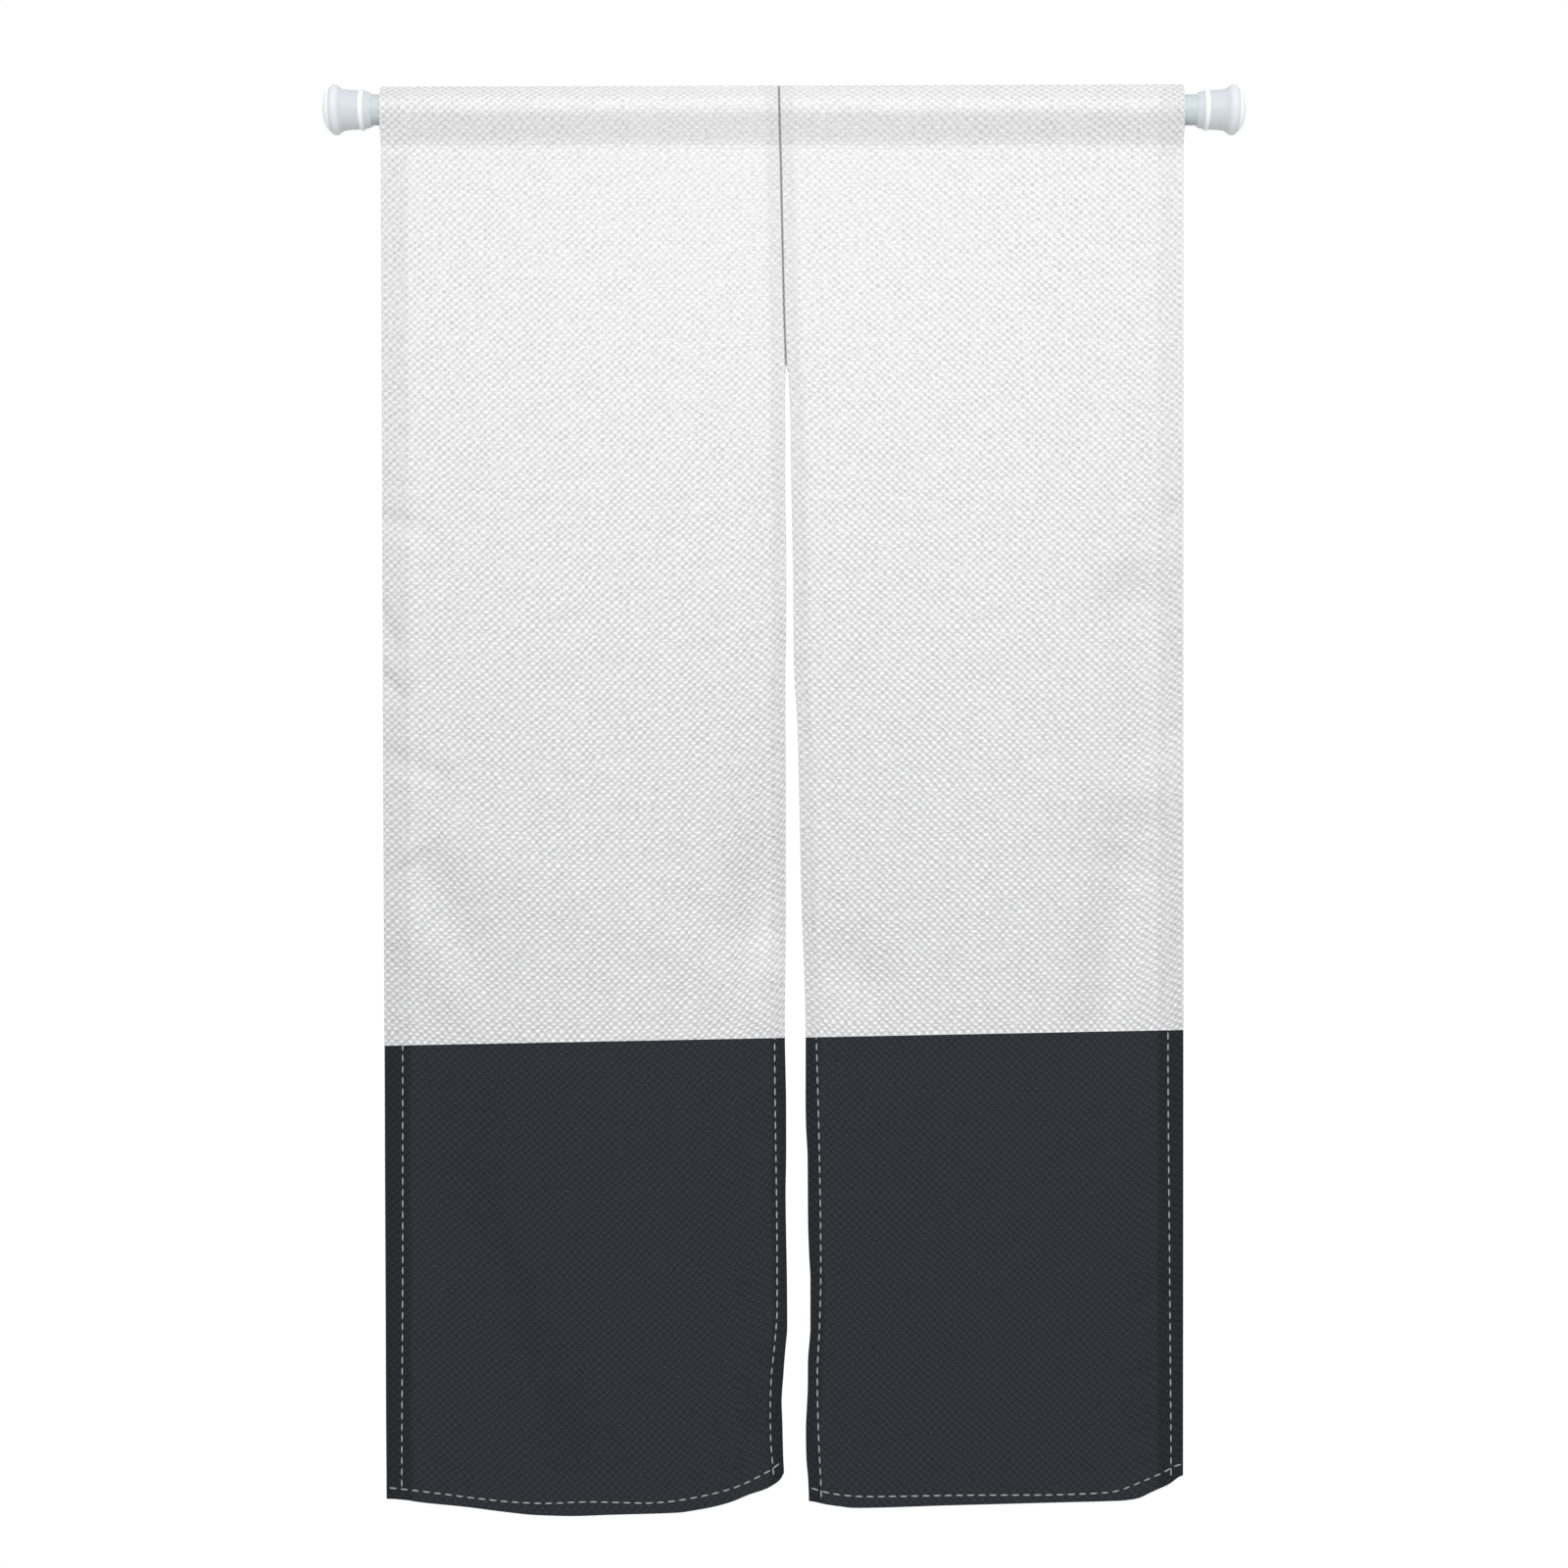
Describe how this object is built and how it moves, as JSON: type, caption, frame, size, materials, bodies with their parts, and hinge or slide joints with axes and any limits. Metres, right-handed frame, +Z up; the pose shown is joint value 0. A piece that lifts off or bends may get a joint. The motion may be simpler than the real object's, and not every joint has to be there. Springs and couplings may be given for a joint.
{
  "type": "split door curtain on a tension rod",
  "caption": "Split door curtain of heavy plain-weave cloth, pale with a dark band along the foot, hung by a sewn pocket on a white tension rod that is pressed between door jambs.",
  "frame": {"origin": "centre of the left pad's flat face, on the axis of the rod", "axes": "+X along the rod from the left pad to the right pad, +Y away from the viewer through the doorway, +Z up"},
  "size_m": [0.9751, 0.0524, 1.5159],
  "materials": {
    "cloth": "matt heavy plain weave, off-white with a dyed slate band along the foot",
    "tube": "white enamel, half gloss",
    "cap": "moulded, blue-white, half gloss",
    "pad": "soft, satin, slightly pink grey"
  },
  "bodies": {
    "root": {"panel_left": "cloth", "panel_right": "cloth", "rod": "tube", "cap_left": "cap", "cap_right": "cap", "pad_left": "pad", "pad_right": "pad"}
  },
  "joints": []
}
